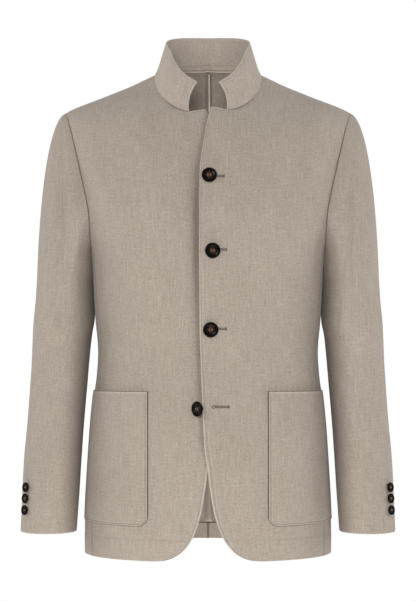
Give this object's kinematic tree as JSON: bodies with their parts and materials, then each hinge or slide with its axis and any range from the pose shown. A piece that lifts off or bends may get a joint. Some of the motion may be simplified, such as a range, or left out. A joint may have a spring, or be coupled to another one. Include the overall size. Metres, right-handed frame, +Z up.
{
  "type": "blazer",
  "caption": "Hollow, worn-shape linen blazer with a stand collar, rounded open front, patch pockets and two-piece sleeves.",
  "frame": {"origin": "middle of the neck opening at the height of the side neck points, where the wearer's neck and shoulders carry the blazer", "axes": "+X to the wearer's left, -Y to the wearer's front, +Z up"},
  "size_m": [0.5714, 0.2763, 0.8033],
  "materials": {
    "linen": "plain-woven beige linen, matt",
    "horn_button": "polished dark brown horn"
  },
  "bodies": {
    "root": {"front_left": "linen", "side_left": "linen", "back_left": "linen", "sleeve_top_left": "linen", "sleeve_under_left": "linen", "pocket_left": "linen", "front_right": "linen", "side_right": "linen", "back_right": "linen", "sleeve_top_right": "linen", "sleeve_under_right": "linen", "pocket_right": "linen", "collar": "linen", "button_front_1": "horn_button", "button_front_2": "horn_button", "button_front_3": "horn_button", "button_front_4": "horn_button", "cuff_button_left_1": "horn_button", "cuff_button_left_2": "horn_button", "cuff_button_left_3": "horn_button", "cuff_button_right_1": "horn_button", "cuff_button_right_2": "horn_button", "cuff_button_right_3": "horn_button"}
  },
  "joints": []
}
